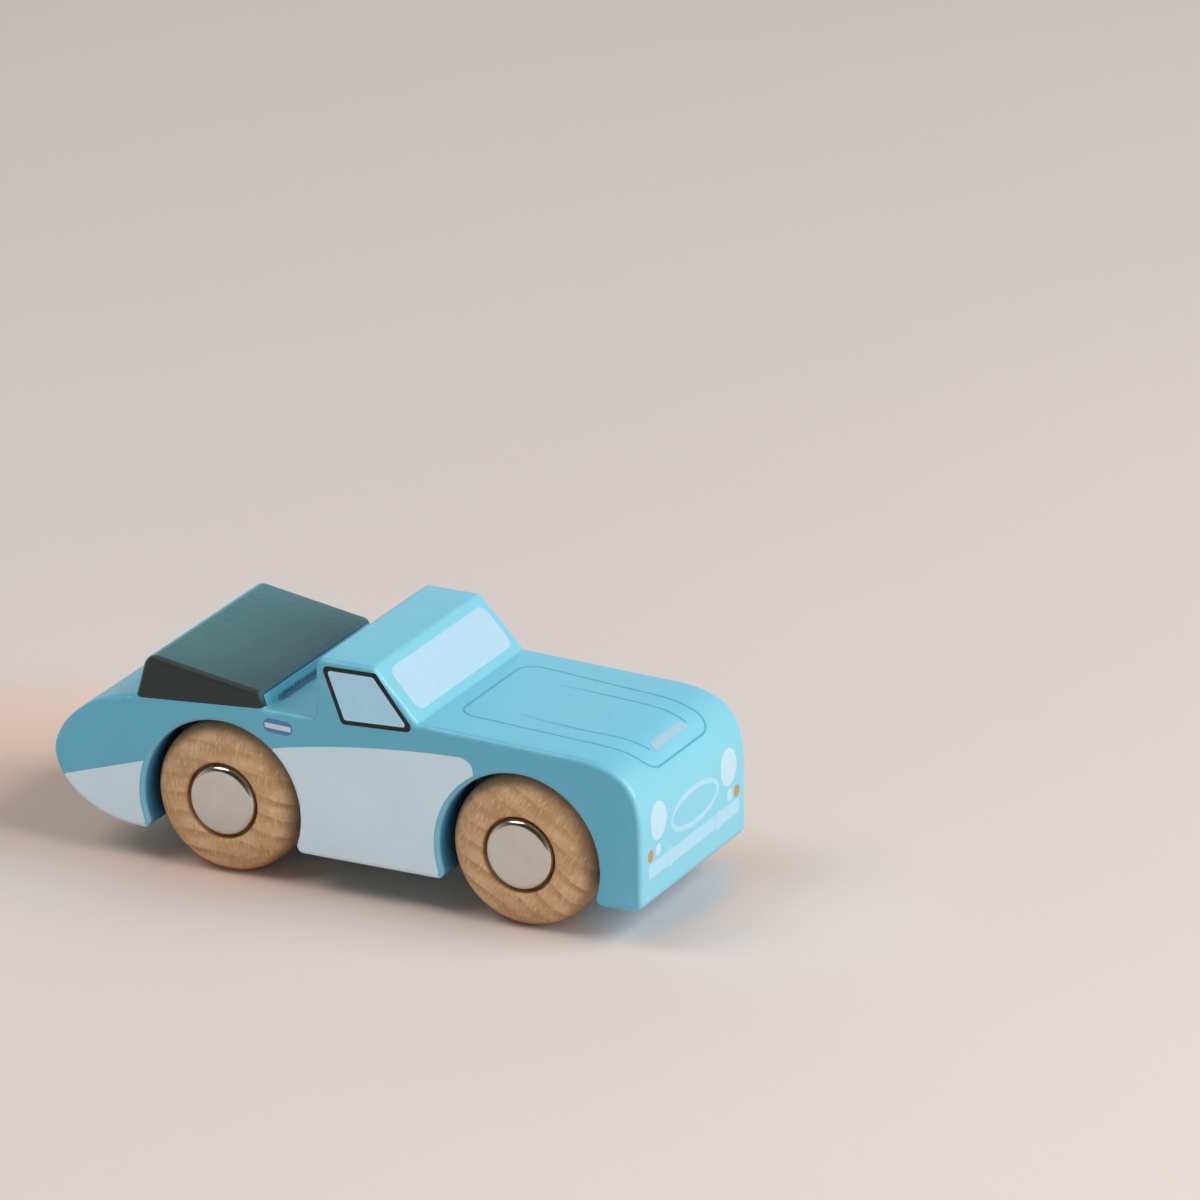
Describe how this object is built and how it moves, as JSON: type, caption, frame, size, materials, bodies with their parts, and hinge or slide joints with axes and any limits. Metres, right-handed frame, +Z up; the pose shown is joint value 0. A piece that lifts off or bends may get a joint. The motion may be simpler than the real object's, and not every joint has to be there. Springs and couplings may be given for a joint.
{
  "type": "wooden toy car",
  "caption": "Painted hardwood toy roadster with open cockpit and folded soft top, turned beech wheels free on steel axles held by bright push-on hub caps.",
  "frame": {"origin": "middle of the overall box, on the ground that the wheels stand on", "axes": "+X towards the nose, +Y to the car's left along the axles, +Z up"},
  "size_m": [0.1112, 0.0396, 0.0423],
  "materials": {
    "painted_block": "pale blue satin paint on a hardwood block, with printed details",
    "beech": "bare turned beech, fine sanded",
    "axle_steel": "bright drawn steel rod",
    "nickel": "bright nickel plate",
    "spring_steel": "hardened spring steel"
  },
  "bodies": {
    "car_body": {"body": "painted_block"},
    "front_axle_set": {"front_axle": "axle_steel", "front_left_axle_cap": "nickel", "front_left_cap_spring": "spring_steel", "front_right_axle_cap": "nickel", "front_right_cap_spring": "spring_steel"},
    "front_left_wheel": {"front_left_wheel": "beech"},
    "front_right_wheel": {"front_right_wheel": "beech"},
    "rear_axle_set": {"rear_axle": "axle_steel", "rear_left_axle_cap": "nickel", "rear_left_cap_spring": "spring_steel", "rear_right_axle_cap": "nickel", "rear_right_cap_spring": "spring_steel"},
    "rear_left_wheel": {"rear_left_wheel": "beech"},
    "rear_right_wheel": {"rear_right_wheel": "beech"}
  },
  "joints": [
    {"name": "front_axle_turn", "type": "hinge", "parent": "car_body", "child": "front_axle_set", "pos_m": [0.03265, 0, 0.0134], "axis": [0, 1, 0], "continuous": true},
    {"name": "front_left_wheel_turn", "type": "hinge", "parent": "front_axle_set", "child": "front_left_wheel", "pos_m": [0.03265, 0, 0.0134], "axis": [0, 1, 0], "continuous": true},
    {"name": "front_right_wheel_turn", "type": "hinge", "parent": "front_axle_set", "child": "front_right_wheel", "pos_m": [0.03265, 0, 0.0134], "axis": [0, 1, 0], "continuous": true},
    {"name": "rear_axle_turn", "type": "hinge", "parent": "car_body", "child": "rear_axle_set", "pos_m": [-0.02335, 0, 0.0134], "axis": [0, 1, 0], "continuous": true},
    {"name": "rear_left_wheel_turn", "type": "hinge", "parent": "rear_axle_set", "child": "rear_left_wheel", "pos_m": [-0.02335, 0, 0.0134], "axis": [0, 1, 0], "continuous": true},
    {"name": "rear_right_wheel_turn", "type": "hinge", "parent": "rear_axle_set", "child": "rear_right_wheel", "pos_m": [-0.02335, 0, 0.0134], "axis": [0, 1, 0], "continuous": true}
  ]
}
